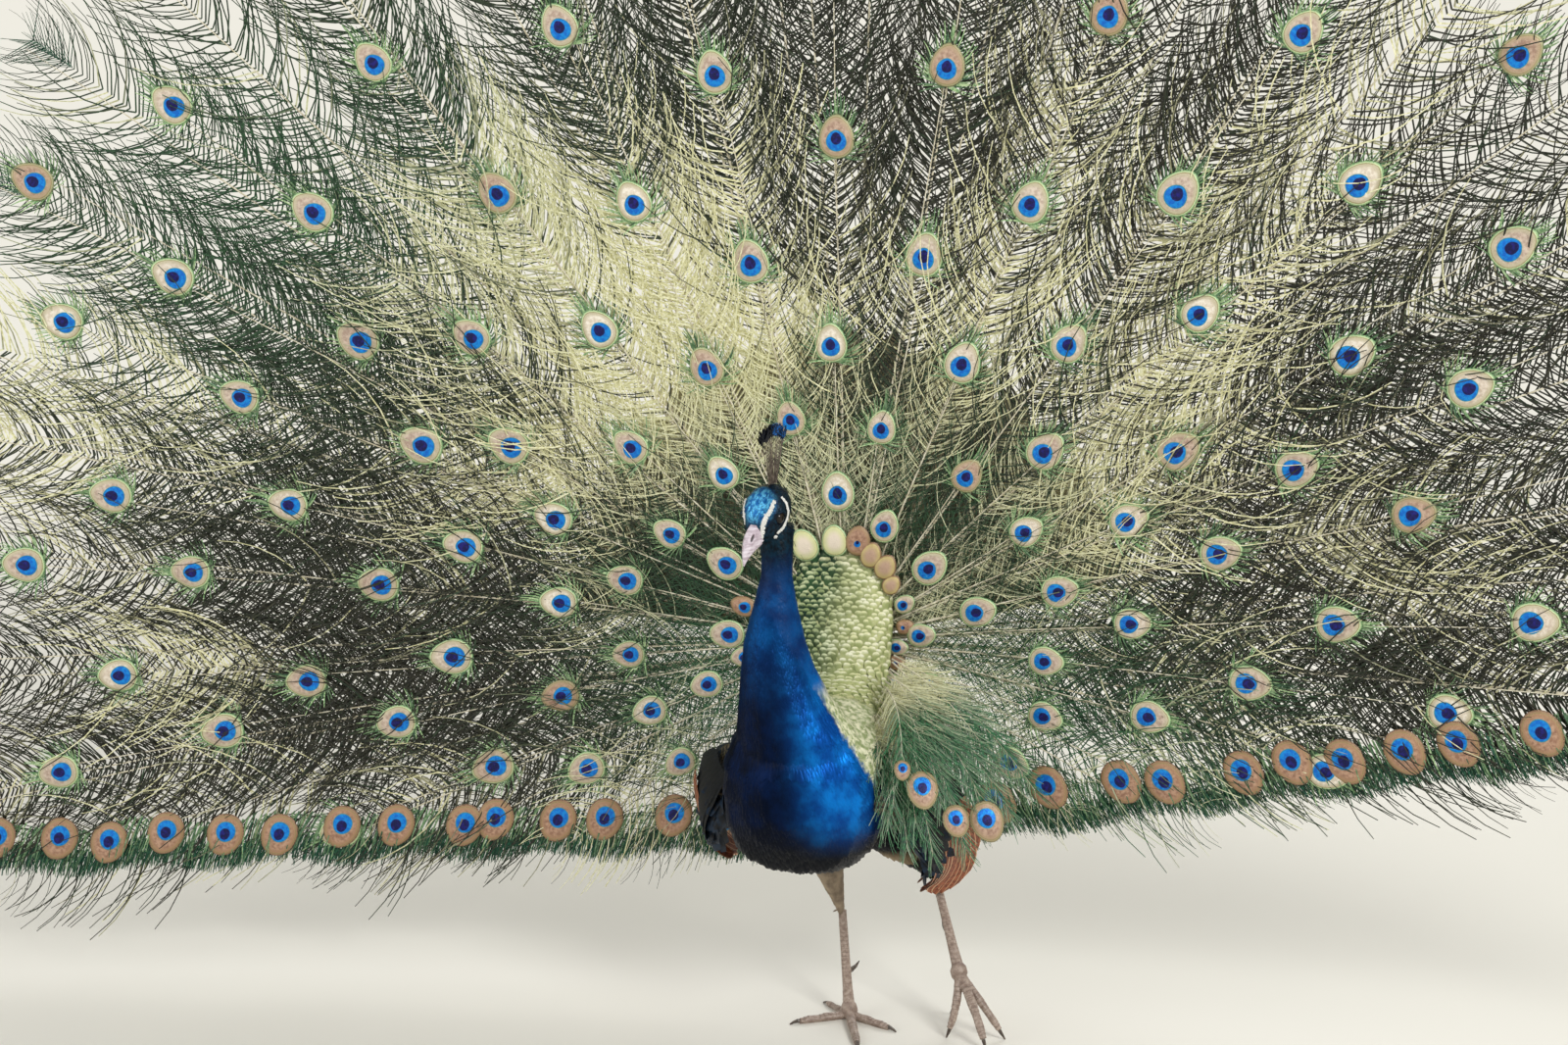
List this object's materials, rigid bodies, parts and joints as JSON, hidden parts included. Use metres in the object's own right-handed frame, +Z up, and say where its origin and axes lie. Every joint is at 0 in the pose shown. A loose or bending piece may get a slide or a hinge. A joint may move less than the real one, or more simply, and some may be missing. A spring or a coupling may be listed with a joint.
{
  "type": "peacock",
  "caption": "Life-size still model of a male Indian peafowl in mid-step, its head turned aside and its train raised in a full fan.",
  "frame": {"origin": "on the floor, at the middle of the flat sole of the right foot's ball", "axes": "+Z up, +X to the bird's own left, -Y the way the bird faces"},
  "size_m": [2.4493, 0.3826, 1.6817],
  "materials": {
    "blue_plumage": "glossy iridescent cobalt-blue plumage over the body",
    "back_scales": "scale-like gold-green feathers",
    "bill": "satin horn",
    "eye": "wet gloss",
    "crest": "bare shafts with blue tips",
    "wing_coverts": "barred buff and black feathers",
    "primaries": "chestnut flight feathers",
    "claw": "satin horn",
    "thigh_plumage": "soft buff feathering",
    "leg_scales": "dry scaled skin",
    "undertail_down": "loose down",
    "tail_quills": "stiff brown quills",
    "train": "loose barbs and eye-spotted feathers"
  },
  "bodies": {
    "root": {"bill_lower": "bill", "bill_upper": "bill", "claw_hind_left": "claw", "claw_hind_right": "claw", "claw_inner_left": "claw", "claw_inner_right": "claw", "claw_middle_left": "claw", "claw_middle_right": "claw", "claw_outer_left": "claw", "claw_outer_right": "claw", "crest": "crest", "eye_left": "eye", "eye_right": "eye", "foot_left": "leg_scales", "foot_right": "leg_scales", "head": "blue_plumage", "neck_lower": "blue_plumage", "neck_middle": "blue_plumage", "neck_upper": "blue_plumage", "primaries_left": "primaries", "primaries_right": "primaries", "saddle": "back_scales", "spur_left": "claw", "spur_right": "claw", "tail": "tail_quills", "tarsus_left": "leg_scales", "tarsus_right": "leg_scales", "thigh_left": "thigh_plumage", "thigh_right": "thigh_plumage", "train_01": "train", "train_02": "train", "train_03": "train", "train_04": "train", "train_05": "train", "train_06": "train", "train_07": "train", "train_08": "train", "train_09": "train", "train_10": "train", "train_11": "train", "train_12": "train", "train_13": "train", "train_14": "train", "train_15": "train", "train_hem_left_1": "train", "train_hem_left_2": "train", "train_hem_right_1": "train", "train_hem_right_2": "train", "trunk": "blue_plumage", "undertail": "undertail_down", "wing_left": "wing_coverts", "wing_right": "wing_coverts"}
  },
  "joints": []
}
